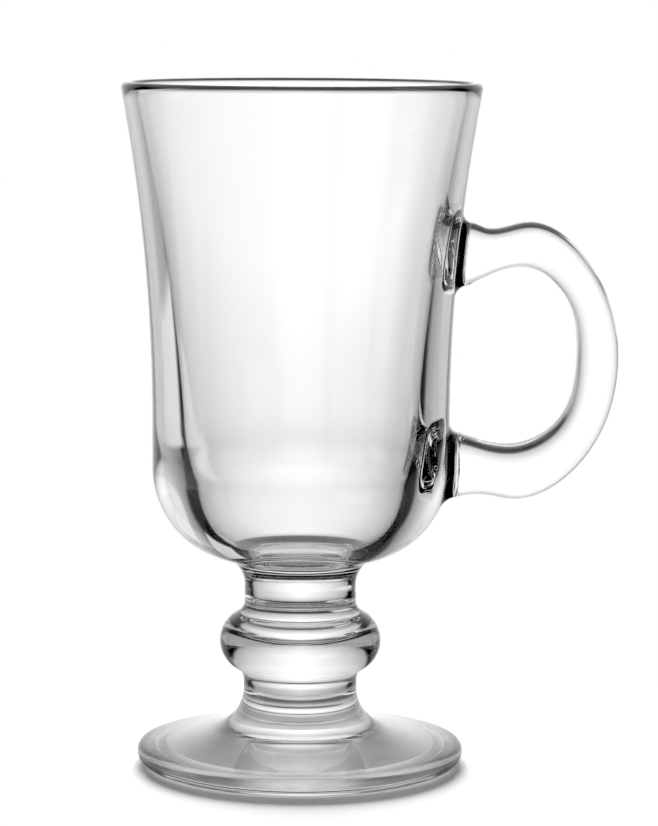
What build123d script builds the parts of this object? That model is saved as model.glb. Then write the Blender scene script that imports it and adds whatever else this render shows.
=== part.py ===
from build123d import *
import math
import os

# Irish coffee mug of clear pressed glass: bowl, stem with a knop, round foot and loop handle.
# Millimetres. The origin is on the axis, on the plane that the foot stands on. Z is up, the handle is
# on the +X side. Every piece is its own solid; the pieces meet face to face where the glass is fused.

# Overall
overall_height = 145.5
rim_diameter = 76.0

# Bowl, outside
lip_radius = 1.3
belly_diameter = 63.2
flare_start_height = 74.0
bowl_round_height = 64.0
bowl_round_radius = 20.0
bowl_fillet_radius = 6.0

# Bowl, inside
cavity_bend_height = 73.0
cavity_bend_diameter = 50.0
cavity_bend_lean = 3.8
cavity_floor_height = 47.2
cavity_fullness = 0.76

# Stem
neck_diameter = 23.8
knop_diameter = 34.4
knop_height = 26.55
knop_bead_radius = 6.7
knop_fillet_radius = 3.0

# Foot
collar_diameter = 24.3
collar_length = 1.2
foot_diameter = 69.8
foot_edge_height = 3.0
foot_edge_radius = 1.5
foot_top_slope = 12.0
foot_flare_radius = 9.0
standing_ring_inner_diameter = 60.0
hollow_edge_width = 2.0
hollow_edge_depth = 1.2
hollow_centre_depth = 2.2
hollow_fillet_radius = 0.8

# Handle: heights above the standing plane, reaches measured out from the belly of the bowl
handle_top_height = 116.4
handle_base_height = 57.5
handle_reach = 35.5
handle_depth = 11.0
handle_edge_radius = 3.2
handle_fullness = 0.695
handle_hole_fullness = 0.72
limb_thickness = 8.6
upper_arm_thickness = 9.6
upper_arm_reach = 15.8
upper_waist_reach = 7.4
upper_waist_dip = 1.3
upper_waist_rise = 1.9
lower_arm_thickness = 11.4
lower_arm_reach = 13.2
lower_waist_reach = 6.0
lower_waist_dip = 1.0
lower_waist_rise = 1.0
root_radius = 3.2
root_sink = 3.6
root_bite = 0.15
upper_root_flare = 4.0
upper_root_drop = 7.4
lower_root_flare = 4.5
lower_root_rise = 3.7

rim_radius = rim_diameter / 2
belly_radius = belly_diameter / 2
neck_radius = neck_diameter / 2
collar_radius = collar_diameter / 2
knop_radius = knop_diameter / 2
foot_radius = foot_diameter / 2


def at(radius, height):
    """A point of a profile: distance from the axis and height."""
    return Vector(radius, 0, height)


def toward(start, end, distance):
    """The point that lies the given distance from start on the line to end."""
    return start + (end - start).normalized() * distance


def turned(section):
    """The solid made by turning a profile about the axis, with its seam on the side away from the handle."""
    return Rot(0, 0, 180) * revolve(section, Axis.Z)


# The bowl's outside: straight belly, hollow flare up to the lip, round bottom, fillet to the neck.
lip_centre = at(rim_radius - lip_radius, overall_height - lip_radius)
belly_top = at(belly_radius, flare_start_height)
belly_base = at(belly_radius, bowl_round_height)
lip_out = lip_centre.X - belly_radius
lip_up = lip_centre.Z - flare_start_height
flare_radius = (lip_out**2 + lip_up**2 - lip_radius**2) / (2 * (lip_radius + lip_out))
flare_centre = belly_top + Vector(flare_radius, 0, 0)
flare_top = toward(lip_centre, flare_centre, lip_radius)
round_centre = at(belly_radius - bowl_round_radius, bowl_round_height)
fillet_span = bowl_round_radius + bowl_fillet_radius
fillet_out = neck_radius + bowl_fillet_radius
fillet_drop = math.sqrt(fillet_span**2 - (fillet_out - round_centre.X) ** 2)
fillet_centre = at(fillet_out, bowl_round_height - fillet_drop)
round_end = toward(round_centre, fillet_centre, bowl_round_radius)
stem_top_height = fillet_centre.Z

# The bowl's inside: a wall that leans out more and more up to the lip, and a full round bottom below its bend.
bend_lean = math.radians(cavity_bend_lean)
wall_base = at(cavity_bend_diameter / 2, cavity_bend_height)
wall_run = at(math.sin(bend_lean), math.cos(bend_lean))
wall_normal = at(math.cos(bend_lean), -math.sin(bend_lean))
lip_to_base = wall_base - lip_centre
wall_drop = lip_to_base.dot(wall_normal) + lip_radius
wall_radius = (lip_radius**2 - lip_to_base.dot(lip_to_base)) / (2 * wall_drop)
wall_centre = wall_base + wall_normal * wall_radius
wall_top = toward(wall_centre, lip_centre, wall_radius)
lip_top = lip_centre + at(0, lip_radius)
cavity_floor = at(0, cavity_floor_height)
bottom_pull = wall_base - wall_run * (cavity_bend_height - cavity_floor_height) * cavity_fullness
floor_pull = at(wall_base.X * cavity_fullness, cavity_floor_height)

# The foot: full round under the edge, small round above it, straight slope, flare up to the collar.
slope = math.radians(foot_top_slope)
edge_out = at(foot_radius, foot_edge_height)
edge_centre = edge_out - at(foot_edge_radius, 0)
ring_outer = at(foot_radius - foot_edge_height, 0)
slope_normal = at(math.sin(slope), math.cos(slope))
slope_base = edge_centre + slope_normal * foot_edge_radius
flare_out = collar_radius + foot_flare_radius
flare_rise = (foot_flare_radius - slope_normal.X * (flare_out - slope_base.X)) / slope_normal.Z
foot_flare_centre = at(flare_out, slope_base.Z + flare_rise)
slope_top = foot_flare_centre - slope_normal * foot_flare_radius
collar_base = at(collar_radius, foot_flare_centre.Z)
collar_top = collar_base + at(0, collar_length)


def outer_wall(inset):
    """The outside of the bowl from the lip's tangent down to the stem, drawn in by an even inset."""
    wall_top_out = toward(flare_centre, flare_top, flare_radius + inset)
    round_out = toward(round_centre, round_end, bowl_round_radius - inset)
    neck_out = at(neck_radius - inset, stem_top_height)
    draw_in = at(inset, 0)
    return [
        TangentArc(belly_top - draw_in, wall_top_out, tangent=(0, 0, 1)),
        Line(belly_top - draw_in, belly_base - draw_in),
        TangentArc(belly_base - draw_in, round_out, tangent=(0, 0, -1)),
        TangentArc(neck_out, round_out, tangent=(0, 0, 1)),
        Line(neck_out, at(0, stem_top_height)),
    ]


def make_bowl():
    """Thick-walled bowl with a round lip, open at the top."""
    inside = [
        ThreePointArc(flare_top, lip_top, wall_top),
        TangentArc(wall_base, wall_top, tangent=wall_run),
        Bezier(wall_base, bottom_pull, floor_pull, cavity_floor),
        Line(cavity_floor, at(0, stem_top_height)),
    ]
    return turned(make_face(outer_wall(0) + inside))


def make_bowl_block(inset):
    """The bowl's outside as a block without its hollow, which the handle's roots are shaped against."""
    wall = outer_wall(inset)
    top = wall[0] @ 1
    brim = at(top.X, overall_height - inset)
    middle = at(0, brim.Z)
    closing = [
        Line(top, brim),
        Line(brim, middle),
        Line(middle, at(0, stem_top_height)),
    ]
    return turned(make_face(wall + closing))


def make_stem():
    """Neck, round knop and lower collar."""
    bead_centre = knop_radius - knop_bead_radius
    neck_base = at(neck_radius, knop_height + math.sqrt(knop_bead_radius**2 - (neck_radius - bead_centre) ** 2))
    knop_base = at(collar_radius, knop_height - math.sqrt(knop_bead_radius**2 - (collar_radius - bead_centre) ** 2))
    edges = [
        Line(at(0, collar_top.Z), collar_top),
        Line(collar_top, knop_base),
        ThreePointArc(knop_base, at(knop_radius, knop_height), neck_base),
        Line(neck_base, at(neck_radius, stem_top_height)),
        Line(at(neck_radius, stem_top_height), at(0, stem_top_height)),
        Line(at(0, stem_top_height), at(0, collar_top.Z)),
    ]
    section = make_face(edges)
    corners = [section.vertices().sort_by_distance(point)[0] for point in (neck_base, knop_base)]
    return turned(fillet(corners, knop_fillet_radius))


def make_foot():
    """Round foot: collar, flare, sloping top, round edge, standing ring and a hollow underside."""
    ring_inner = at(standing_ring_inner_diameter / 2, 0)
    hollow_edge = ring_inner + at(-hollow_edge_width, hollow_edge_depth)
    hollow_top = at(0, hollow_centre_depth)
    edges = [
        Line(at(0, collar_top.Z), collar_top),
        Line(collar_top, collar_base),
        TangentArc(collar_base, slope_top, tangent=(0, 0, -1)),
        Line(slope_top, slope_base),
        TangentArc(edge_out, slope_base, tangent=(0, 0, 1)),
        TangentArc(edge_out, ring_outer, tangent=(0, 0, -1)),
        Line(ring_outer, ring_inner),
        Line(ring_inner, hollow_edge),
        TangentArc(hollow_top, hollow_edge, tangent=(1, 0, 0)),
        Line(hollow_top, at(0, collar_top.Z)),
    ]
    section = make_face(edges)
    corners = [section.vertices().sort_by_distance(point)[0] for point in (ring_inner, hollow_edge)]
    return turned(fillet(corners, hollow_fillet_radius))


def beyond_belly(reach, height):
    """A point of the handle: distance out from the belly and height."""
    return at(belly_radius + reach, height)


def bow(arm, furthest, fullness):
    """The point halfway round the bend between an arm and the furthest point of the loop."""
    return at(arm.X + (furthest.X - arm.X) * fullness, furthest.Z + (arm.Z - furthest.Z) * fullness)


def make_handle():
    """Loop of even depth with round edges, spread out at both roots and cut to the bowl's outside."""
    middle_height = (handle_top_height + handle_base_height) / 2
    upper_top = beyond_belly(upper_arm_reach, handle_top_height)
    lower_base = beyond_belly(lower_arm_reach, handle_base_height)
    furthest = beyond_belly(handle_reach, middle_height)
    outside = Spline(
        beyond_belly(-root_sink, handle_top_height + upper_root_flare),
        beyond_belly(upper_waist_reach, handle_top_height - upper_waist_dip),
        upper_top,
        bow(upper_top, furthest, handle_fullness),
        furthest,
        bow(lower_base, furthest, handle_fullness),
        lower_base,
        beyond_belly(lower_waist_reach, handle_base_height + lower_waist_rise),
        beyond_belly(-root_sink, handle_base_height - lower_root_flare),
    )
    upper_hole = upper_top - at(0, upper_arm_thickness)
    lower_hole = lower_base + at(0, lower_arm_thickness)
    hole_furthest = furthest - at(limb_thickness, 0)
    hole = Spline(
        beyond_belly(-root_sink, upper_hole.Z - upper_root_drop),
        beyond_belly(upper_waist_reach, upper_hole.Z - upper_waist_rise),
        upper_hole,
        bow(upper_hole, hole_furthest, handle_hole_fullness),
        hole_furthest,
        bow(lower_hole, hole_furthest, handle_hole_fullness),
        lower_hole,
        beyond_belly(lower_waist_reach, lower_hole.Z + lower_waist_dip),
        beyond_belly(-root_sink, lower_hole.Z + lower_root_rise),
    )
    ends = [Line(outside @ 0, hole @ 0), Line(outside @ 1, hole @ 1)]
    side = Pos(0, -handle_depth / 2, 0) * make_face([outside, hole] + ends)
    loop = extrude(side, handle_depth, dir=(0, 1, 0))
    loop = fillet(loop.edges().filter_by(GeomType.BSPLINE), handle_edge_radius)
    core = make_bowl_block(root_bite)
    joined = core + loop
    roots = new_edges(core, loop, combined=joined)
    return fillet(roots, root_radius) - make_bowl_block(0)


os.makedirs("parts", exist_ok=True)
export_step(make_bowl(), "parts/bowl.step")
export_step(make_stem(), "parts/stem.step")
export_step(make_foot(), "parts/foot.step")
export_step(make_handle(), "parts/handle.step")
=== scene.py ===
import math
from typing import NamedTuple

import bmesh
import bpy
from mathutils import Matrix, Vector


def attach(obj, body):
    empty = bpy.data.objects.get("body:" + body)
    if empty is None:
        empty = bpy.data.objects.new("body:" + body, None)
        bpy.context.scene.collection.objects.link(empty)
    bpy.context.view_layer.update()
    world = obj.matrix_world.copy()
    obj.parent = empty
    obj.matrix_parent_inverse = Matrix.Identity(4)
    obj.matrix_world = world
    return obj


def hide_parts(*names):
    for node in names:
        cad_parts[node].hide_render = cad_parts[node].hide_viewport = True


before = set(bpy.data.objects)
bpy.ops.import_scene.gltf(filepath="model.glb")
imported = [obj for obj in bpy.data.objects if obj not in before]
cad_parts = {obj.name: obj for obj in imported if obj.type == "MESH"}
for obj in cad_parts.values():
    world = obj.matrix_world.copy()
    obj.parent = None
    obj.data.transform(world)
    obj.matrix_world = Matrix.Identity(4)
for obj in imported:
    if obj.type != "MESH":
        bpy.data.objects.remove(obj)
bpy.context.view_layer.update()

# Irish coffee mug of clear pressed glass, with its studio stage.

bl_info = {
    "name": "Irish Coffee Mug",
    "version": (1, 0, 0),
    "blender": (4, 5, 0),
    "location": "View3D > Sidebar > Mug",
    "description": "Builds a stemmed glass mug on its frame, with a soft white stage",
    "category": "Object",
}

# Places in a piece's list of materials. Place 0 is its plain glass.
SEAM = 1
ROOT_WALL = 2

# Points nearer than this are one point, and heights nearer than this are one level.
SAME_POINT = 1e-7
SAME_LEVEL = 1e-6

# The wall that a root can be fused to ends this far above the bowl's seat and below the middle of its lip.
WALL_ABOVE_SEAT = 0.001
WALL_BELOW_LIP = 0.002

# The handle's skin runs from 0 to 1. Each end closes a root on the bowl, then rounds out to the arm.
ROOT_CAP = 0.04
ROOT_END = 0.1
# The skin starts as a flat grid that reaches this far each way from its middle.
GRID_HALF = 0.5

# The dull hollow under the foot, in metres: where it fades upwards, outwards and towards the middle.
DULL_TOP = (0.0024, 0.0028)
DULL_EDGE = (0.0295, 0.0305)
DULL_MIDDLE = (0.010, 0.016)
DULL_LEAST = 0.2
DULL_GRIT = 0.3

# How far from the axis the foot's round edge turns the lamp's light aside, in metres.
RIM_START = (0.030, 0.034)

# The floor, and how far from the mug it fades into the surround, in metres.
FLOOR_RADIUS = 0.42
FLOOR_FADE = (0.06, 0.12)
FLOOR_WHITE = 1.0

# The floor seen through the foot: nearly black, a painted shade, with a painted glow that is dark in the
# middle, pale towards the standing ring, then dark again.
FLOOR_THROUGH_PAINTED_SHADE = 0.05
UNDER_GLOW_LEVEL = 0.08
UNDER_GLOW_GAIN = 0.6
UNDER_PAINTED_LIGHT = (0.012, 0.026)
UNDER_PAINTED_SHADE = (0.025, 0.031)
UNDER_SHADE_LOSS = 0.85
UNDER_END = (0.034, 0.04)

# A glowing patch of floor behind on the left, painted light seen only through the glass.
DIAGONAL = math.sqrt(0.5)
PATCH_GLOW = 0.75
PATCH_CLEAR = 0.1
PATCH_START = (0.19, 0.22)
PATCH_END = (0.36, 0.40)
PATCH_SHIFT = 0.02
PATCH_HALF = (0.06, 0.09)


class Card(NamedTuple):
    """A soft card in the surround: its middle, where it fades away from there, and its brightness."""

    side: float
    side_fade: tuple
    rise: float
    rise_fade: tuple
    level: float


# The surround that the glass sees, in degrees. Side is 0 behind the mug and grows towards the handle.
# Rise is 0 when level. First the wide card behind the mug.
CARD_LEVEL = 1.22
CARD_SIDE_FALL = 0.0165
CARD_SIDE_END = (44.0, 51.0)
CARD_LOW_START = -8.0
CARD_LOW_FALL = 0.0325
CARD_DARK = (23.0, 29.0)
CARD_DARK_LOSS = 0.8
CARD_HIGH = (8.0, 30.0)
CARD_HIGH_LOSS = 0.35

# Small cards: level on the left, low in front on the right, and low behind on the left.
SMALL_CARDS = (
    Card(side=-90.0, side_fade=(10.0, 15.0), rise=-4.0, rise_fade=(9.0, 13.0), level=0.85),
    Card(side=135.0, side_fade=(14.0, 20.0), rise=-20.0, rise_fade=(6.0, 9.0), level=0.9),
    Card(side=-36.0, side_fade=(9.0, 14.0), rise=-34.0, rise_fade=(7.0, 10.0), level=0.75),
)

# The dim card in front, the light overhead, and the light that the floor gets from all round.
FRONT_SIDE = (150.0, 168.0)
FRONT_RISE = 2.0
FRONT_RISE_FADE = (16.0, 22.0)
FRONT_LEVEL = 0.4
TOP_RISE = (20.0, 38.0)
TOP_LEVEL = 0.92
ROUND_LEVEL = 0.16

# The lamp: its place and what it points at, in metres, its width in metres and its power in watts.
LAMP_PLACE = Vector((-0.03, 0.68, 0.34))
LAMP_AIM = Vector((0, 0, 0.05))
LAMP_WIDTH = 0.5
LAMP_POWER = 15.5

# How often light may bend on its way through the glass.
BOUNCES = 24


def length(name, millimetres, description):
    """A length property, given in millimetres and kept in metres."""
    return bpy.props.FloatProperty(
        name=name, description=description, default=millimetres / 1000, unit="LENGTH", precision=4
    )


def turn(name, degrees, description):
    """An angle property, given in degrees."""
    return bpy.props.FloatProperty(
        name=name, description=description, default=math.radians(degrees), unit="ROTATION"
    )


def plain(name, value, description):
    """A number without a unit."""
    return bpy.props.FloatProperty(name=name, description=description, default=value, precision=4)


class MugBowlSizes(bpy.types.PropertyGroup):
    """Sizes of the bowl, outside and inside."""

    height: length("Height", 145.5, "From the standing plane to the top of the lip")
    rim_diameter: length("Rim diameter", 76.0, "Outside diameter at the lip")
    lip_radius: length("Lip radius", 1.3, "Round of the fire-polished lip")
    belly_diameter: length("Belly diameter", 63.2, "Outside diameter of the straight lower wall")
    flare_start: length("Flare start", 74.0, "Height where the wall begins to lean out")
    round_height: length("Round height", 64.0, "Height where the bottom begins to round in")
    round_radius: length("Round radius", 20.0, "Radius of the round bottom")
    fillet_radius: length("Neck fillet", 6.0, "Hollow round between the bottom and the neck")
    bend_height: length("Bend height", 73.0, "Height where the inside wall begins to round in")
    bend_diameter: length("Bend diameter", 50.0, "Width of the cavity at its bend")
    bend_lean: turn("Bend lean", 3.8, "Lean of the inside wall at its bend")
    floor_height: length("Floor height", 47.2, "Height of the floor inside")
    fullness: plain("Fullness", 0.76, "How full the round bottom of the cavity is")


class MugStemSizes(bpy.types.PropertyGroup):
    """Sizes of the stem."""

    neck_diameter: length("Neck diameter", 23.8, "Diameter of the neck below the bowl")
    knop_diameter: length("Knop diameter", 34.4, "Diameter of the round knop")
    knop_height: length("Knop height", 26.55, "Height of the middle of the knop")
    bead_radius: length("Knop round", 6.7, "Radius of the knop's round side")
    fillet_radius: length("Knop fillet", 3.0, "Hollow round above and below the knop")


class MugFootSizes(bpy.types.PropertyGroup):
    """Sizes of the foot."""

    collar_diameter: length("Collar diameter", 24.3, "Diameter of the collar below the knop")
    collar_length: length("Collar length", 1.2, "Straight part of the collar on the foot")
    diameter: length("Foot diameter", 69.8, "Outside diameter of the foot")
    edge_height: length("Edge height", 3.0, "Height of the foot's widest line, and the round below it")
    edge_radius: length("Edge radius", 1.5, "Round above the foot's widest line")
    top_slope: turn("Top slope", 12.0, "Slope of the foot's top")
    flare_radius: length("Flare radius", 9.0, "Hollow round between the collar and the top")
    ring_diameter: length("Ring diameter", 60.0, "Inside diameter of the standing ring")
    hollow_width: length("Hollow edge width", 2.0, "Width of the slope inside the standing ring")
    hollow_depth: length("Hollow edge depth", 1.2, "Depth of the hollow just inside the ring")
    hollow_centre: length("Hollow centre depth", 2.2, "Depth of the hollow in the middle")
    hollow_fillet: length("Hollow fillet", 0.8, "Round of the ring's inner corners")


class MugHandleSizes(bpy.types.PropertyGroup):
    """Sizes of the loop handle."""

    top_height: length("Top height", 116.4, "Highest line of the loop")
    base_height: length("Base height", 57.5, "Lowest line of the loop")
    reach: length("Reach", 35.5, "How far the loop stands out from the belly")
    fullness: plain("Fullness", 0.695, "How full the bends of the loop are outside")
    hole_fullness: plain("Hole fullness", 0.72, "How full the bends of the hole are")
    limb: length("Limb", 8.6, "Thickness of the upright limb")
    upper_arm: length("Upper arm", 9.6, "Thickness of the upper arm")
    upper_arm_reach: length("Upper arm reach", 15.8, "Where the upper arm is highest, out from the belly")
    upper_waist_reach: length("Upper waist reach", 7.4, "Where the upper arm is lowest, out from the belly")
    upper_waist_dip: length("Upper waist dip", 1.3, "Hollow on top of the upper arm")
    upper_waist_rise: length("Upper waist rise", 1.9, "Drop of the hole's outline below the upper arm")
    lower_arm: length("Lower arm", 11.4, "Thickness of the lower arm")
    lower_arm_reach: length("Lower arm reach", 13.2, "Where the lower arm is lowest, out from the belly")
    lower_waist_reach: length("Lower waist reach", 6.0, "Where the lower arm draws in, out from the belly")
    lower_waist_dip: length("Lower waist dip", 1.0, "Lift of the hole's outline above the lower arm")
    lower_waist_rise: length("Lower waist rise", 1.0, "Hollow below the lower arm")
    depth: length("Depth", 11.0, "Thickness of the handle from side to side")
    squareness: plain("Squareness", 4.0, "2 is an oval section, more is squarer")
    root_radius: length("Root radius", 2.5, "Hollow round where a root meets the bowl")
    upper_root: length("Upper root height", 109.5, "Height of the middle of the upper root")
    upper_half: length("Upper root half height", 6.6, "Half height of the upper root, without its round")
    lower_root: length("Lower root height", 64.5, "Height of the middle of the lower root")
    lower_half: length("Lower root half height", 6.7, "Half height of the lower root, without its round")


class MugGlassLook(bpy.types.PropertyGroup):
    """Finish of the glass."""

    tint: bpy.props.FloatVectorProperty(
        name="Tint", description="Colour of light that has passed through the glass",
        subtype="COLOR", default=(0.985, 0.99, 0.988), min=0, max=1,
    )
    ior: plain("Refraction", 1.52, "Refractive index of soda-lime glass")
    shadow_pass: plain("Shadow pass", 0.7, "Share of the lamp's light that each surface lets through")
    shadow_rim: plain("Shadow at the rim", 0.6, "Share that the foot's round edge turns aside")
    ripple: length("Ripple", 0.01, "Height of the faint mould ripple in the surface")
    ripple_size: length("Ripple size", 14.0, "Width of one ripple")


class MugStageLook(bpy.types.PropertyGroup):
    """Place and lens of the camera."""

    camera_distance: length("Camera distance", 694.8, "From the mug's axis to the camera")
    camera_height: length("Camera height", 163.0, "Height of the camera above the floor")
    camera_pitch: turn("Camera pitch", 7.18, "How far the camera looks down")
    camera_yaw: turn("Camera yaw", 0.49, "How far the camera looks towards the handle")
    camera_roll: turn("Camera roll", 0.27, "Lean of the camera")
    camera_lens: plain("Lens", 143.6, "Focal length in millimetres on a 36 mm sensor")


# Profiles: points hold the distance from the axis and the height.


def arc(centre, start, end, steps):
    """Points on the shorter arc about centre from start to end, both included."""
    first = start - centre
    last = end - centre
    begin = math.atan2(first.y, first.x)
    sweep = math.remainder(math.atan2(last.y, last.x) - begin, math.tau)
    angles = [begin + sweep * step / steps for step in range(steps + 1)]
    return [centre + Vector((math.cos(a), math.sin(a))) * first.length for a in angles]


def bezier(pulls, steps):
    """Points on the curve that is drawn along a row of pulls, from the first to the last."""
    points = []
    for step in range(steps + 1):
        row = list(pulls)
        while len(row) > 1:
            row = [first.lerp(second, step / steps) for first, second in zip(row, row[1:])]
        points += row
    return points


def straight(start, end, steps):
    """Evenly spaced points from start to end, both included."""
    return [start.lerp(end, step / steps) for step in range(steps + 1)]


def rounded(before, corner, after, radius, steps):
    """Points on the round that cuts the corner between two straight runs."""
    back = (before - corner).normalized()
    ahead = (after - corner).normalized()
    half = back.angle(ahead) / 2
    reach = radius / math.tan(half)
    centre = corner + (back + ahead).normalized() * (radius / math.sin(half))
    return arc(centre, corner + back * reach, corner + ahead * reach, steps)


def joined(*runs):
    """One list of points from several runs, without the points that two runs share."""
    points = []
    for run in runs:
        points += [p for p in run if not points or (p - points[-1]).length > SAME_POINT]
    return points


def hollow_fillet(line_radius, radius, centre, round_radius, side):
    """A hollow round between an upright wall and a round: its centre and its two ends."""
    out = line_radius + radius
    rise = math.sqrt((round_radius + radius) ** 2 - (out - centre.x) ** 2)
    middle = Vector((out, centre.y + side * rise))
    on_wall = Vector((line_radius, middle.y))
    on_round = centre + (middle - centre).normalized() * round_radius
    return middle, on_wall, on_round


class BowlShape:
    """The bowl's curves, worked out from its sizes."""

    def __init__(self, sizes, neck_diameter):
        self.sizes = sizes
        belly = sizes.belly_diameter / 2
        lip = sizes.lip_radius
        self.belly = belly
        self.lip_centre = Vector((sizes.rim_diameter / 2 - lip, sizes.height - lip))
        self.lip_top = self.lip_centre + Vector((0, lip))
        out = self.lip_centre.x - belly
        up = self.lip_centre.y - sizes.flare_start
        self.flare_radius = (out**2 + up**2 - lip**2) / (2 * (lip + out))
        self.flare_centre = Vector((belly + self.flare_radius, sizes.flare_start))
        self.flare_top = self.lip_centre + (self.flare_centre - self.lip_centre).normalized() * lip
        self.round_centre = Vector((belly - sizes.round_radius, sizes.round_height))
        self.fillet_centre, self.seat, self.round_end = hollow_fillet(
            neck_diameter / 2, sizes.fillet_radius, self.round_centre, sizes.round_radius, -1
        )
        self.wall_base = Vector((sizes.bend_diameter / 2, sizes.bend_height))
        self.wall_run = Vector((math.sin(sizes.bend_lean), math.cos(sizes.bend_lean)))
        normal = Vector((self.wall_run.y, -self.wall_run.x))
        drop = self.wall_base - self.lip_centre
        self.wall_radius = (lip**2 - drop.length_squared) / (2 * (drop.dot(normal) + lip))
        self.wall_centre = self.wall_base + normal * self.wall_radius
        to_lip = (self.lip_centre - self.wall_centre).normalized()
        self.wall_top = self.wall_centre + to_lip * self.wall_radius

    def outside(self, height):
        """Outside radius at a height on the wall or the round bottom."""
        sizes = self.sizes
        if height > sizes.flare_start:
            return self.flare_centre.x - math.sqrt(self.flare_radius**2 - (height - sizes.flare_start) ** 2)
        if height > sizes.round_height:
            return self.belly
        return self.round_centre.x + math.sqrt(sizes.round_radius**2 - (sizes.round_height - height) ** 2)

    def face(self, across, height):
        """How far out on +X the outside lies, at a distance across and a height."""
        return math.sqrt(self.outside(height) ** 2 - across**2)

    def cavity_bottom(self):
        """The full round bottom of the cavity, from the wall's bend to the axis."""
        sizes = self.sizes
        depth = sizes.bend_height - sizes.floor_height
        pull = self.wall_base - self.wall_run * depth * sizes.fullness
        floor = Vector((0, sizes.floor_height))
        floor_pull = Vector((self.wall_base.x * sizes.fullness, sizes.floor_height))
        return bezier([self.wall_base, pull, floor_pull, floor], steps=56)

    def profile(self):
        """The bowl's section, from the axis under the floor round the lip to the axis on the floor."""
        sizes = self.sizes
        belly_base = Vector((self.belly, sizes.round_height))
        belly_top = Vector((self.belly, sizes.flare_start))
        return joined(
            straight(Vector((0, self.seat.y)), self.seat, steps=4),
            arc(self.fillet_centre, self.seat, self.round_end, steps=16),
            arc(self.round_centre, self.round_end, belly_base, steps=32),
            straight(belly_base, belly_top, steps=6),
            arc(self.flare_centre, belly_top, self.flare_top, steps=36),
            arc(self.lip_centre, self.flare_top, self.lip_top, steps=8),
            arc(self.lip_centre, self.lip_top, self.wall_top, steps=8),
            arc(self.wall_centre, self.wall_top, self.wall_base, steps=40),
            self.cavity_bottom(),
        )


class FootShape:
    """The foot's curves, worked out from its sizes."""

    def __init__(self, sizes):
        self.sizes = sizes
        edge = sizes.edge_radius
        self.edge_out = Vector((sizes.diameter / 2, sizes.edge_height))
        self.edge_centre = self.edge_out - Vector((edge, 0))
        normal = Vector((math.sin(sizes.top_slope), math.cos(sizes.top_slope)))
        self.slope_base = self.edge_centre + normal * edge
        collar = sizes.collar_diameter / 2
        out = collar + sizes.flare_radius
        rise = (sizes.flare_radius - normal.x * (out - self.slope_base.x)) / normal.y
        self.flare_centre = Vector((out, self.slope_base.y + rise))
        self.slope_top = self.flare_centre - normal * sizes.flare_radius
        self.collar_base = Vector((collar, self.flare_centre.y))
        self.seat = self.collar_base + Vector((0, sizes.collar_length))

    def profile(self):
        """The foot's section, from the axis on the seat round the edge to the axis under the hollow."""
        sizes = self.sizes
        under_centre = self.edge_out - Vector((sizes.edge_height, 0))
        ring_outer = Vector((under_centre.x, 0))
        ring = Vector((sizes.ring_diameter / 2, 0))
        hollow = ring + Vector((-sizes.hollow_width, sizes.hollow_depth))
        top = Vector((0, sizes.hollow_centre))
        rise = sizes.hollow_centre - sizes.hollow_depth
        dome = Vector((0, top.y - (hollow.x**2 + rise**2) / (2 * rise)))
        inner = rounded(ring, hollow, top, sizes.hollow_fillet, steps=6)
        return joined(
            straight(Vector((0, self.seat.y)), self.seat, steps=4),
            straight(self.seat, self.collar_base, steps=2),
            arc(self.flare_centre, self.collar_base, self.slope_top, steps=28),
            straight(self.slope_top, self.slope_base, steps=10),
            arc(self.edge_centre, self.slope_base, self.edge_out, steps=10),
            arc(under_centre, self.edge_out, ring_outer, steps=16),
            rounded(ring_outer, ring, hollow, sizes.hollow_fillet, steps=6),
            inner,
            arc(dome, inner[-1], top, steps=16),
        )


def stem_profile(sizes, low, high):
    """The stem's section, from the axis at its lower seat to the axis at its upper seat."""
    bead = Vector((sizes.knop_diameter / 2 - sizes.bead_radius, sizes.knop_height))
    neck = sizes.neck_diameter / 2
    under, under_wall, under_round = hollow_fillet(low.x, sizes.fillet_radius, bead, sizes.bead_radius, -1)
    over, over_wall, over_round = hollow_fillet(neck, sizes.fillet_radius, bead, sizes.bead_radius, 1)
    return joined(
        straight(Vector((0, low.y)), low, steps=4),
        straight(low, under_wall, steps=3),
        arc(under, under_wall, under_round, steps=10),
        arc(bead, under_round, over_round, steps=48),
        arc(over, over_round, over_wall, steps=10),
        straight(over_wall, high, steps=4),
        straight(high, Vector((0, high.y)), steps=4),
    )


class SmoothCurve:
    """A smooth curve through points, with no bend at its two ends."""

    def __init__(self, points):
        self.points = points
        self.gaps = [(end - start).length for start, end in zip(points, points[1:])]
        inner = range(1, len(points) - 1)
        shares = [0.0] * len(points)
        pulls = [Vector((0, 0))] * len(points)
        for i in inner:
            before, after = self.gaps[i - 1], self.gaps[i]
            change = (points[i + 1] - points[i]) / after - (points[i] - points[i - 1]) / before
            whole = 2 * (before + after) - before * shares[i - 1]
            shares[i] = after / whole
            pulls[i] = (6 * change - before * pulls[i - 1]) / whole
        self.bends = [Vector((0, 0))] * len(points)
        for i in reversed(inner):
            self.bends[i] = pulls[i] - shares[i] * self.bends[i + 1]

    def at(self, place):
        """The point at a place from 0 to 1, with every span between two points as long as the next."""
        spans = len(self.gaps)
        reach = min(max(place, 0), 1) * spans
        i = min(int(reach), spans - 1)
        on = reach - i
        off = 1 - on
        bend = (off**3 - off) * self.bends[i] + (on**3 - on) * self.bends[i + 1]
        return off * self.points[i] + on * self.points[i + 1] + bend * self.gaps[i] ** 2 / 6


def bow(arm, furthest, fullness):
    """The point halfway round the bend between an arm and the furthest point of the loop."""
    return Vector((arm.x + (furthest.x - arm.x) * fullness, furthest.y + (arm.y - furthest.y) * fullness))


def eased(value):
    """0 to 1 with a gentle start and end."""
    value = min(max(value, 0), 1)
    return value * value * (3 - 2 * value)


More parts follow.
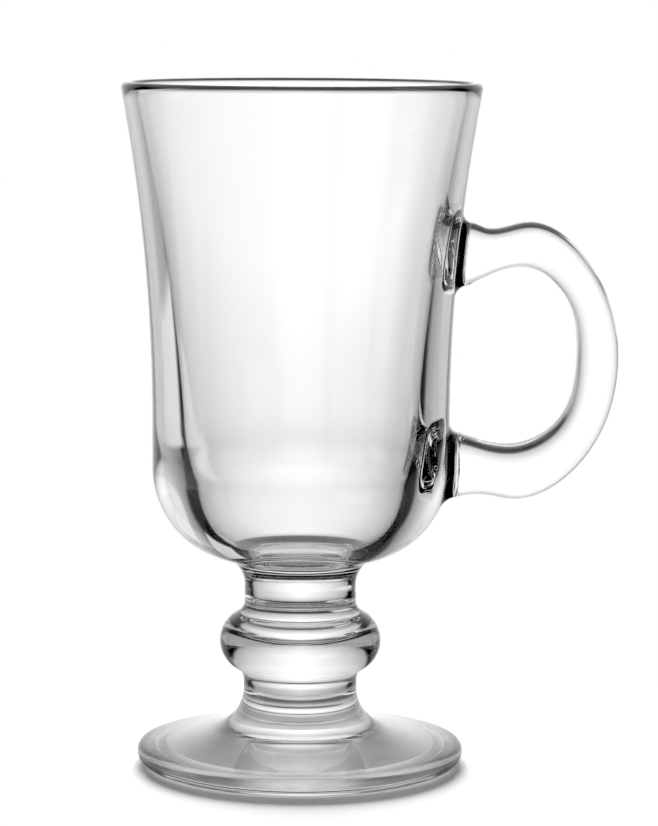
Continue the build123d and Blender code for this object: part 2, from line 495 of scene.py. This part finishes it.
class HandleShape:
    """The handle's skin: a place along it and a turn round its section give a point."""

    def __init__(self, sizes, bowl):
        self.sizes = sizes
        self.bowl = bowl
        self.roots = ((sizes.upper_root, sizes.upper_half), (sizes.lower_root, -sizes.lower_half))
        furthest = Vector((bowl.belly + sizes.reach, (sizes.top_height + sizes.base_height) / 2))
        upper = Vector((bowl.belly + sizes.upper_arm_reach, sizes.top_height))
        lower = Vector((bowl.belly + sizes.lower_arm_reach, sizes.base_height))
        upper_waist = Vector((bowl.belly + sizes.upper_waist_reach, upper.y - sizes.upper_waist_dip))
        lower_waist = Vector((bowl.belly + sizes.lower_waist_reach, lower.y + sizes.lower_waist_rise))
        self.outside = self.loop(1, upper_waist, upper, furthest, lower, lower_waist, sizes.fullness)
        upper_arm = Vector((0, sizes.upper_arm))
        lower_arm = Vector((0, sizes.lower_arm))
        self.hole = self.loop(
            -1,
            upper_waist - upper_arm - Vector((0, sizes.upper_waist_rise - sizes.upper_waist_dip)),
            upper - upper_arm,
            furthest - Vector((sizes.limb, 0)),
            lower + lower_arm,
            lower_waist + lower_arm + Vector((0, sizes.lower_waist_dip - sizes.lower_waist_rise)),
            sizes.hole_fullness,
        )

    def loop(self, side, upper_waist, upper, furthest, lower, lower_waist, fullness):
        """One outline of the loop, from the upper root to the lower one."""
        first, last = (self.root_edge(*root, side) for root in self.roots)
        bows = bow(upper, furthest, fullness), bow(lower, furthest, fullness)
        points = [first, upper_waist, upper, bows[0], furthest, bows[1], lower, lower_waist, last]
        return SmoothCurve(points)

    def root_edge(self, height, half, side):
        """Where a root's round ends, above or below the middle of the root."""
        level = height + side * half
        return Vector((self.bowl.outside(level) + self.sizes.root_radius, level))

    def section(self, turn_round):
        """The section's shape: across the loop and across its depth, both from -1 to 1."""
        power = 2 / self.sizes.squareness
        across = math.copysign(abs(math.cos(turn_round)) ** power, math.cos(turn_round))
        aside = math.copysign(abs(math.sin(turn_round)) ** power, math.sin(turn_round))
        return across, aside

    def root_point(self, root, spread, lift, turn_round, share=1.0):
        """A point of a root: spread beyond the arm's outline, lifted off the bowl."""
        height, half = root
        across, aside = self.section(turn_round)
        grown = math.copysign(abs(half) + spread, half)
        level = height + grown * across * share
        sideways = (self.sizes.depth / 2 + spread) * aside * share
        return Vector((self.bowl.face(sideways, level) + lift, sideways, level))

    def arm_point(self, place, turn_round):
        """A point of the loop between the two roots."""
        outside = self.outside.at(place)
        hole = self.hole.at(place)
        middle = (outside + hole) / 2
        half = (outside - hole) / 2
        across, aside = self.section(turn_round)
        flat = middle + half * across
        sideways = self.sizes.depth / 2 * aside
        near = eased(min(place, 1 - place) * len(self.outside.gaps))
        if near < 1:
            lift = middle.x - self.bowl.face(0, middle.y)
            flat.x += (1 - near) * (self.bowl.face(sideways, flat.y) + lift - flat.x)
        return Vector((flat.x, sideways, flat.y))

    def point(self, place, turn_round):
        """A point of the whole skin, with the root's ends closed on the bowl's wall."""
        root = self.roots[0 if place < 0.5 else 1]
        inward = min(place, 1 - place)
        radius = self.sizes.root_radius
        if inward < ROOT_CAP:
            return self.root_point(root, radius, 0, turn_round, inward / ROOT_CAP)
        if inward < ROOT_END:
            bend = math.pi / 2 * (inward - ROOT_CAP) / (ROOT_END - ROOT_CAP)
            spread = radius * (1 - math.sin(bend))
            lift = radius * (1 - math.cos(bend))
            return self.root_point(root, spread, lift, turn_round)
        return self.arm_point((place - ROOT_END) / (1 - 2 * ROOT_END), turn_round)


# Meshes


def spun(profile, segments=192):
    """A closed mesh from a profile that starts and ends on the axis."""
    bm = bmesh.new()
    verts = [bm.verts.new((p.x, 0, p.y)) for p in profile]
    edges = [bm.edges.new(pair) for pair in zip(verts, verts[1:])]
    bmesh.ops.spin(
        bm, geom=verts + edges, cent=(0, 0, 0), axis=(0, 0, 1), dvec=(0, 0, 0),
        angle=math.tau, steps=segments, use_merge=True,
    )
    bmesh.ops.remove_doubles(bm, verts=bm.verts, dist=SAME_POINT)
    bmesh.ops.recalc_face_normals(bm, faces=bm.faces)
    return bm


def mark_level(bm, height, index):
    """Gives the flat faces at a height their own material."""
    for face in bm.faces:
        if all(abs(v.co.z - height) < SAME_LEVEL for v in face.verts):
            face.material_index = index


def add_piece(bm, name, node, materials, shadow=False):
    """Makes the object of a finished mesh and puts it on the frame in place of its CAD node."""
    for face in bm.faces:
        face.smooth = True
    for edge in bm.edges:
        if len({face.material_index == SEAM for face in edge.link_faces}) > 1:
            edge.smooth = False
    mesh = bpy.data.meshes.new(name)
    bm.to_mesh(mesh)
    bm.free()
    for material in materials:
        mesh.materials.append(material)
    piece = bpy.data.objects.new(name, mesh)
    piece.visible_shadow = shadow
    bpy.context.scene.collection.objects.link(piece)
    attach(piece, "root")
    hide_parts(node)


# Shaders


class Value:
    """A shader value that adds Math nodes when it is worked with."""

    def __init__(self, shader, socket):
        self.shader = shader
        self.socket = socket

    def math(self, operation, *others, **settings):
        inputs = dict(enumerate((self,) + others))
        node = self.shader.add("ShaderNodeMath", {"operation": operation, **settings}, inputs)
        return Value(self.shader, node.outputs[0])

    def __add__(self, other):
        return self.math("ADD", other)

    __radd__ = __add__

    def __mul__(self, other):
        return self.math("MULTIPLY", other)

    __rmul__ = __mul__

    def __neg__(self):
        return self * -1

    def __sub__(self, other):
        return self.math("SUBTRACT", other)

    def __rsub__(self, other):
        return -self + other

    def __truediv__(self, other):
        return self.math("DIVIDE", other)

    def __pow__(self, other):
        return self.math("POWER", other)

    def __abs__(self):
        return self.math("ABSOLUTE")

    def above(self, other):
        return self.math("GREATER_THAN", other)

    def larger(self, other):
        return self.math("MAXIMUM", other)

    def limited(self):
        return self.math("ADD", 0, use_clamp=True)

    def ramp(self, low, high):
        """0 at low, 1 at high, with a gentle start and end."""
        values = {"Value": self, "From Min": low, "From Max": high}
        node = self.shader.add("ShaderNodeMapRange", {"interpolation_type": "SMOOTHSTEP"}, values)
        return Value(self.shader, node.outputs["Result"])


class Shader:
    """A node tree that is built from nodes, their settings and their sockets."""

    def __init__(self, tree):
        self.tree = tree
        tree.nodes.clear()

    def add(self, kind, settings=None, inputs=None):
        """Adds a node, with its settings set first and then its sockets' values or links."""
        node = self.tree.nodes.new(kind)
        for key, value in (settings or {}).items():
            setattr(node, key, value)
        for key, value in (inputs or {}).items():
            if isinstance(value, Value):
                value = value.socket
            if isinstance(value, bpy.types.NodeSocket):
                self.tree.links.new(value, node.inputs[key])
            else:
                node.inputs[key].default_value = value
        return node

    def value(self, node, output):
        return Value(self, node.outputs[output])

    def parts(self, vector):
        """The three values of a vector socket."""
        node = self.add("ShaderNodeSeparateXYZ", None, {"Vector": vector})
        return [Value(self, socket) for socket in node.outputs]


def new_shader(name):
    """A material with an empty node tree."""
    material = bpy.data.materials.new(name)
    material.use_nodes = True
    return material, Shader(material.node_tree)


def clear_glass(name, dull=False, pads=()):
    """Clear pressed glass: faint mould ripple, a dull hollow under the foot, openings under the roots."""
    look = bpy.context.scene.mug_glass
    material, shader = new_shader(name)
    place = shader.add("ShaderNodeTexCoord").outputs["Object"]
    noise = shader.add(
        "ShaderNodeTexNoise", None,
        {"Vector": place, "Scale": 1 / look.ripple_size, "Detail": 1.0, "Roughness": 0.4},
    )
    bump = shader.add(
        "ShaderNodeBump", None, {"Strength": 1.0, "Distance": look.ripple, "Height": noise.outputs["Fac"]}
    )
    glass = shader.add(
        "ShaderNodeBsdfPrincipled", None,
        {
            "Base Color": (*look.tint, 1), "Roughness": 0.0, "IOR": look.ior,
            "Transmission Weight": 1.0, "Normal": bump.outputs["Normal"],
        },
    )
    x, y, z = shader.parts(place)
    reach = (x * x + y * y) ** 0.5
    if dull:
        grit = shader.add("ShaderNodeTexNoise", None, {"Vector": place, "Scale": 300.0, "Detail": 3.0})
        hollow = (1 - z.ramp(*DULL_TOP)) * (1 - reach.ramp(*DULL_EDGE)) * reach.ramp(*DULL_MIDDLE)
        worn = hollow * (DULL_LEAST + shader.value(grit, "Fac") * DULL_GRIT)
        shader.tree.links.new(worn.socket, glass.inputs["Roughness"])
    cover = None
    for height, half, depth, power in pads:
        pad = abs((z - height) / half) ** power + abs(y / depth) ** power
        inside = (1 - pad.above(1.0)) * x.above(0.0)
        cover = inside if cover is None else cover.larger(inside)
    if cover:
        shader.tree.links.new((1 - cover).socket, glass.inputs["Alpha"])
    shadow = shader.value(shader.add("ShaderNodeLightPath"), "Is Shadow Ray")
    passed = shadow * (look.shadow_pass - look.shadow_rim * reach.ramp(*RIM_START))
    clear = shader.add("ShaderNodeBsdfTransparent")
    mixed = shader.add(
        "ShaderNodeMixShader", None, {0: passed, 1: glass.outputs["BSDF"], 2: clear.outputs["BSDF"]}
    )
    shader.add("ShaderNodeOutputMaterial", None, {"Surface": mixed.outputs["Shader"]})
    return material


def fused_seam():
    """The joint face between two pieces of fused glass, which light passes as if it were not there."""
    material, shader = new_shader("fused_seam")
    glass = shader.add(
        "ShaderNodeBsdfPrincipled", None,
        {"Base Color": (1, 1, 1, 1), "Roughness": 0.0, "Transmission Weight": 1.0, "Alpha": 0.0},
    )
    shader.add("ShaderNodeOutputMaterial", None, {"Surface": glass.outputs["BSDF"]})
    return material


def glass_set():
    """The materials that every piece shares."""
    seam = bpy.data.materials.get("fused_seam") or fused_seam()
    glass = bpy.data.materials.get("clear_glass") or clear_glass("clear_glass")
    return glass, seam


# Operators


class MUG_OT_bowl(bpy.types.Operator):
    """Make the bowl"""

    bl_idname = "mug.bowl"
    bl_label = "Bowl"

    def execute(self, context):
        scene = context.scene
        shape = BowlShape(scene.mug_bowl, scene.mug_stem.neck_diameter)
        handle = scene.mug_handle
        grow = handle.root_radius
        depth = handle.depth / 2 + grow
        pads = [
            (handle.upper_root, handle.upper_half + grow, depth, handle.squareness),
            (handle.lower_root, handle.lower_half + grow, depth, handle.squareness),
        ]
        bm = spun(shape.profile())
        mark_level(bm, shape.seat.y, SEAM)
        lowest = shape.seat.y + WALL_ABOVE_SEAT
        highest = shape.lip_centre.y - WALL_BELOW_LIP
        for face in bm.faces:
            middle = face.calc_center_median()
            outward = face.normal.xy.dot(middle.xy) > 0
            if outward and lowest < middle.z < highest:
                face.material_index = ROOT_WALL
        glass, seam = glass_set()
        wall = clear_glass("clear_glass_wall", pads=pads)
        add_piece(bm, "glass_bowl", "bowl", (glass, seam, wall))
        return {"FINISHED"}


class MUG_OT_stem(bpy.types.Operator):
    """Make the stem with its knop"""

    bl_idname = "mug.stem"
    bl_label = "Stem"

    def execute(self, context):
        scene = context.scene
        low = FootShape(scene.mug_foot).seat
        high = BowlShape(scene.mug_bowl, scene.mug_stem.neck_diameter).seat
        bm = spun(stem_profile(scene.mug_stem, low, high))
        mark_level(bm, low.y, SEAM)
        mark_level(bm, high.y, SEAM)
        add_piece(bm, "glass_stem", "stem", glass_set())
        return {"FINISHED"}


class MUG_OT_foot(bpy.types.Operator):
    """Make the foot with its standing ring"""

    bl_idname = "mug.foot"
    bl_label = "Foot"

    def execute(self, context):
        shape = FootShape(context.scene.mug_foot)
        bm = spun(shape.profile())
        mark_level(bm, shape.seat.y, SEAM)
        glass = clear_glass("clear_glass_foot", dull=True)
        # Only the foot casts a shadow, so that the floor stays white beyond it.
        add_piece(bm, "glass_foot", "foot", (glass, glass_set()[SEAM]), shadow=True)
        return {"FINISHED"}


class MUG_OT_handle(bpy.types.Operator):
    """Make the loop handle"""

    bl_idname = "mug.handle"
    bl_label = "Handle"

    def execute(self, context):
        scene = context.scene
        shape = HandleShape(scene.mug_handle, BowlShape(scene.mug_bowl, scene.mug_stem.neck_diameter))
        bm = bmesh.new()
        bmesh.ops.create_grid(bm, x_segments=250, y_segments=64, size=GRID_HALF)
        for face in bm.faces:
            place = face.calc_center_median().x + GRID_HALF
            if min(place, 1 - place) < ROOT_CAP:
                face.material_index = SEAM
        for vert in bm.verts:
            vert.co = shape.point(vert.co.x + GRID_HALF, (vert.co.y + GRID_HALF) * math.tau)
        bmesh.ops.remove_doubles(bm, verts=bm.verts, dist=SAME_POINT)
        bmesh.ops.recalc_face_normals(bm, faces=bm.faces)
        add_piece(bm, "glass_handle", "handle", glass_set())
        return {"FINISHED"}


class MUG_OT_stage(bpy.types.Operator):
    """Make the floor, the light and the camera"""

    bl_idname = "mug.stage"
    bl_label = "Stage"

    def execute(self, context):
        scene = context.scene
        self.floor(scene)
        self.world(scene)
        self.lamp(scene)
        self.camera(scene)
        scene.view_settings.view_transform = "Standard"
        scene.cycles.max_bounces = BOUNCES
        scene.cycles.transmission_bounces = BOUNCES
        scene.cycles.transparent_max_bounces = BOUNCES
        return {"FINISHED"}

    def floor(self, scene):
        """A white floor that fades into the white surround, with painted glow and painted shade where glass
        shows it.
        """
        bm = bmesh.new()
        bmesh.ops.create_circle(bm, cap_ends=True, segments=96, radius=FLOOR_RADIUS)
        mesh = bpy.data.meshes.new("floor")
        bm.to_mesh(mesh)
        bm.free()
        floor = bpy.data.objects.new("floor", mesh)
        scene.collection.objects.link(floor)
        material, shader = new_shader("white_floor_painted_glow")
        x, y, _ = shader.parts(shader.add("ShaderNodeTexCoord").outputs["Object"])
        distance = (x * x + y * y) ** 0.5
        camera = shader.value(shader.add("ShaderNodeLightPath"), "Is Camera Ray")
        # Painted light and shade where glass sees the floor: a glow, dim under the middle of the foot,
        # bright towards the standing ring, dim again at the ring.
        painted_light_ring = distance.ramp(*UNDER_PAINTED_LIGHT) * (1 - UNDER_SHADE_LOSS * distance.ramp(*UNDER_PAINTED_SHADE))
        under = UNDER_GLOW_LEVEL + UNDER_GLOW_GAIN * painted_light_ring
        # Painted light: where the glowing patch lies on the floor behind on the left.
        along = (y - x) * DIAGONAL
        across = abs((x + y) * DIAGONAL - PATCH_SHIFT)
        ends = along.ramp(*PATCH_START) * (1 - along.ramp(*PATCH_END))
        patch = ends * (1 - across.ramp(*PATCH_HALF))
        away = distance.above(PATCH_CLEAR)
        painted_glow = (1 - camera) * (under * (1 - away) + PATCH_GLOW * away)
        near = 1 - distance.ramp(*UNDER_END)
        shown = camera * (1 - distance.ramp(*FLOOR_FADE)) + (1 - camera) * near.larger(patch)
        # Glass sees the floor nearly black, a painted shade, so that only the painted glow shows there.
        colour = FLOOR_THROUGH_PAINTED_SHADE + camera * (FLOOR_WHITE - FLOOR_THROUGH_PAINTED_SHADE)
        surface = shader.add(
            "ShaderNodeBsdfPrincipled", None,
            {
                "Base Color": colour, "Roughness": 1.0, "Specular IOR Level": 0.0,
                "Emission Color": painted_glow, "Emission Strength": 1.0, "Alpha": shown,
            },
        )
        shader.add("ShaderNodeOutputMaterial", None, {"Surface": surface.outputs["BSDF"]})
        mesh.materials.append(material)

    def world(self, scene):
        """White surround, in which glass sees a wide card behind the mug and smaller ones about it."""
        scene.world = bpy.data.worlds.new("studio")
        scene.world.use_nodes = True
        shader = Shader(scene.world.node_tree)
        x, y, z = shader.parts(shader.add("ShaderNodeTexCoord").outputs["Generated"])
        ray = shader.add("ShaderNodeLightPath")
        camera = shader.value(ray, "Is Camera Ray")
        looked = shader.value(ray, "Is Glossy Ray").larger(shader.value(ray, "Is Transmission Ray"))
        degree = math.degrees(1)
        side = x.math("ARCTAN2", y) * degree
        rise = z.math("ARCSINE") * degree
        dark = 1 - CARD_DARK_LOSS * (-rise).ramp(*CARD_DARK)
        low = (1 + CARD_LOW_FALL * (rise - CARD_LOW_START)).limited() * dark
        high = 1 - CARD_HIGH_LOSS * rise.ramp(*CARD_HIGH)
        wide = (CARD_LEVEL - CARD_SIDE_FALL * abs(side)) * (1 - abs(side).ramp(*CARD_SIDE_END))
        cards = wide * low * high
        for card in SMALL_CARDS:
            across = 1 - abs(side - card.side).ramp(*card.side_fade)
            upright = 1 - abs(rise - card.rise).ramp(*card.rise_fade)
            cards = cards.larger(across * upright * card.level)
        upright = 1 - abs(rise - FRONT_RISE).ramp(*FRONT_RISE_FADE)
        cards = cards.larger(abs(side).ramp(*FRONT_SIDE) * upright * FRONT_LEVEL)
        cards = cards.larger(rise.ramp(*TOP_RISE) * TOP_LEVEL)
        strength = camera + (1 - camera) * (looked * cards + (1 - looked) * ROUND_LEVEL)
        light = shader.add("ShaderNodeBackground", None, {"Color": (1, 1, 1, 1), "Strength": strength})
        shader.add("ShaderNodeOutputWorld", None, {"Surface": light.outputs["Background"]})

    def lamp(self, scene):
        """One broad soft lamp, low behind the mug, which lights the floor."""
        light = bpy.data.lights.new("soft_lamp", "AREA")
        light.shape = "DISK"
        light.size = LAMP_WIDTH
        light.energy = LAMP_POWER
        lamp = bpy.data.objects.new("soft_lamp", light)
        lamp.location = LAMP_PLACE
        lamp.rotation_euler = (LAMP_AIM - LAMP_PLACE).to_track_quat("-Z", "Y").to_euler()
        lamp.visible_camera = False
        lamp.visible_transmission = False
        lamp.visible_glossy = False
        scene.collection.objects.link(lamp)

    def camera(self, scene):
        """The camera, a little above the rim and looking slightly down."""
        stage = scene.mug_stage
        lens = bpy.data.cameras.new("camera")
        lens.lens = stage.camera_lens
        lens.sensor_width = 36.0
        lens.clip_start = 0.01
        camera = bpy.data.objects.new("camera", lens)
        pose = (
            Matrix.Rotation(-stage.camera_yaw, 4, "Z")
            @ Matrix.Rotation(math.pi / 2 - stage.camera_pitch, 4, "X")
            @ Matrix.Rotation(stage.camera_roll, 4, "Z")
        )
        camera.matrix_world = Matrix.Translation((0, -stage.camera_distance, stage.camera_height)) @ pose
        scene.collection.objects.link(camera)
        scene.camera = camera


class MUG_PT_panel(bpy.types.Panel):
    """Sizes and steps of the mug"""

    bl_label = "Irish Coffee Mug"
    bl_idname = "MUG_PT_panel"
    bl_space_type = "VIEW_3D"
    bl_region_type = "UI"
    bl_category = "Mug"

    def draw(self, context):
        for step, group in STEPS:
            box = self.layout.box()
            box.operator(step.bl_idname)
            settings = getattr(context.scene, group)
            for key in settings.bl_rna.properties.keys():
                if key not in {"rna_type", "name"}:
                    box.prop(settings, key)


GROUPS = {
    "mug_bowl": MugBowlSizes,
    "mug_stem": MugStemSizes,
    "mug_foot": MugFootSizes,
    "mug_handle": MugHandleSizes,
    "mug_glass": MugGlassLook,
    "mug_stage": MugStageLook,
}
STEPS = (
    (MUG_OT_bowl, "mug_bowl"),
    (MUG_OT_stem, "mug_stem"),
    (MUG_OT_foot, "mug_foot"),
    (MUG_OT_handle, "mug_handle"),
    (MUG_OT_stage, "mug_stage"),
)
CLASSES = tuple(GROUPS.values()) + tuple(step for step, _ in STEPS) + (MUG_PT_panel,)


def register():
    for cls in CLASSES:
        bpy.utils.register_class(cls)
    for name, group in GROUPS.items():
        setattr(bpy.types.Scene, name, bpy.props.PointerProperty(type=group))


def unregister():
    for name in GROUPS:
        delattr(bpy.types.Scene, name)
    for cls in reversed(CLASSES):
        bpy.utils.unregister_class(cls)


def main():
    register()
    bpy.ops.mug.bowl()
    bpy.ops.mug.stem()
    bpy.ops.mug.foot()
    bpy.ops.mug.handle()
    bpy.ops.mug.stage()


if __name__ == "__main__":
    main()
